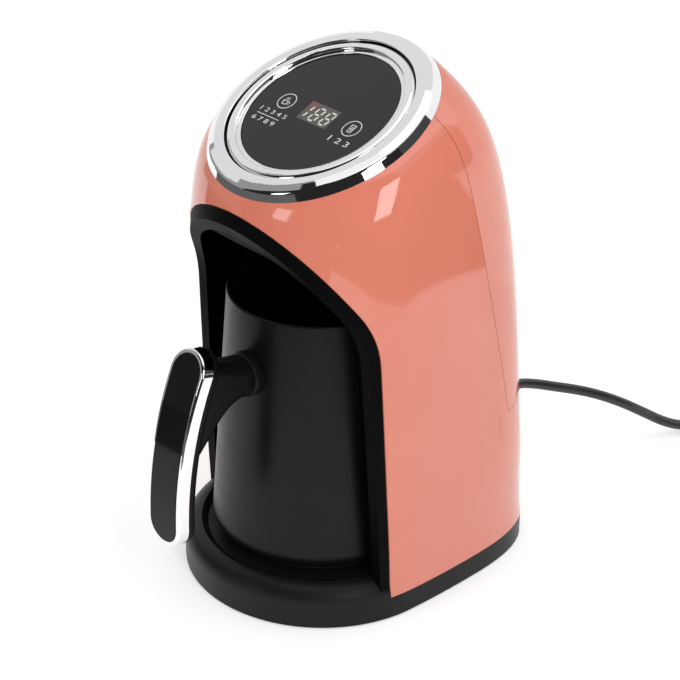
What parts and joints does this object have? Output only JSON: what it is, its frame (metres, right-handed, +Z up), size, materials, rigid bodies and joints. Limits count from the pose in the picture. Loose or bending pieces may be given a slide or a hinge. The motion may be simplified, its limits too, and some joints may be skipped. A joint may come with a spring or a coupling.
{
  "type": "electric turkish coffee maker",
  "caption": "Tabletop coffee maker: coral arched housing with a slanting touch panel, chrome ring, heated base, lift-out black pot with a bowed handle, and mains cord.",
  "frame": {"origin": "on the pot's axis, at the floor under the rubber feet", "axes": "+Z up along the pot's axis, -Y towards the user and the open arch, +X to the right of someone who stands in front"},
  "size_m": [0.2009, 0.3708, 0.2452],
  "materials": {
    "coral": "glossy coral red",
    "tray_black": "satin black",
    "liner_black": "satin black",
    "inner_black": "matte black",
    "inner_white": "matte off-white",
    "panel_gloss": "deep gloss black",
    "window": "smoked gloss",
    "chrome": "polished",
    "steel": "plain",
    "plate_alloy": "turned",
    "brass": "nickel plated",
    "pot_coat": "non-stick coated, satin black",
    "handle_black": "matte black",
    "rubber": "matte",
    "silicone": "matte translucent grey",
    "cord_black": "satin black",
    "board_green": "green laminate"
  },
  "bodies": {
    "base": {"base_tray": "tray_black", "bottom_cover": "inner_black", "rubber_feet": "rubber", "bottom_screws": "steel", "outer_shell": "coral", "back_cover": "coral", "bay_liner": "liner_black", "bezel_ring": "chrome", "bezel_inner_ring": "chrome", "panel_glass": "panel_gloss", "display_lens": "window", "display_module": "inner_white", "touch_pads": "steel", "panel_carrier": "inner_black", "touch_board": "board_green", "board_screws": "steel", "buzzer": "inner_black", "heating_plate": "plate_alloy", "plate_seal": "silicone", "heating_element": "plate_alloy", "heater_bracket": "steel", "fuse_clip": "steel", "thermal_fuse": "inner_white", "probe_guide": "inner_black", "probe_spring": "steel", "sensor_lens": "window", "sensor_holder": "inner_black", "power_board": "board_green", "relay": "inner_white", "transformer": "inner_black", "terminal_block": "inner_white", "capacitors": "inner_black", "cord_clamp": "inner_black", "cord_tail": "cord_black", "strain_relief": "rubber", "heater_leads": "silicone", "signal_cable": "inner_white", "power_cord": "cord_black", "power_cord_coil": "cord_black", "plug_body": "cord_black", "plug_pins": "brass"},
    "probe": {"temperature_probe": "steel"},
    "pot": {"pot_vessel": "pot_coat", "handle_collar": "handle_black", "handle_core": "handle_black", "handle_frame": "chrome", "handle_inlay": "panel_gloss", "handle_screw": "steel"}
  },
  "joints": [
    {"name": "probe_press", "type": "slide", "parent": "base", "child": "probe", "axis": [0, 0, 1], "range_m": [-0.0015, 0], "stiffness_N_per_m": 300, "deforming": ["probe_spring"]},
    {"name": "pot_lift", "type": "slide", "parent": "base", "child": "pot", "axis": [0, -0.9781, 0.2079], "range_m": [0, 0.17]}
  ]
}
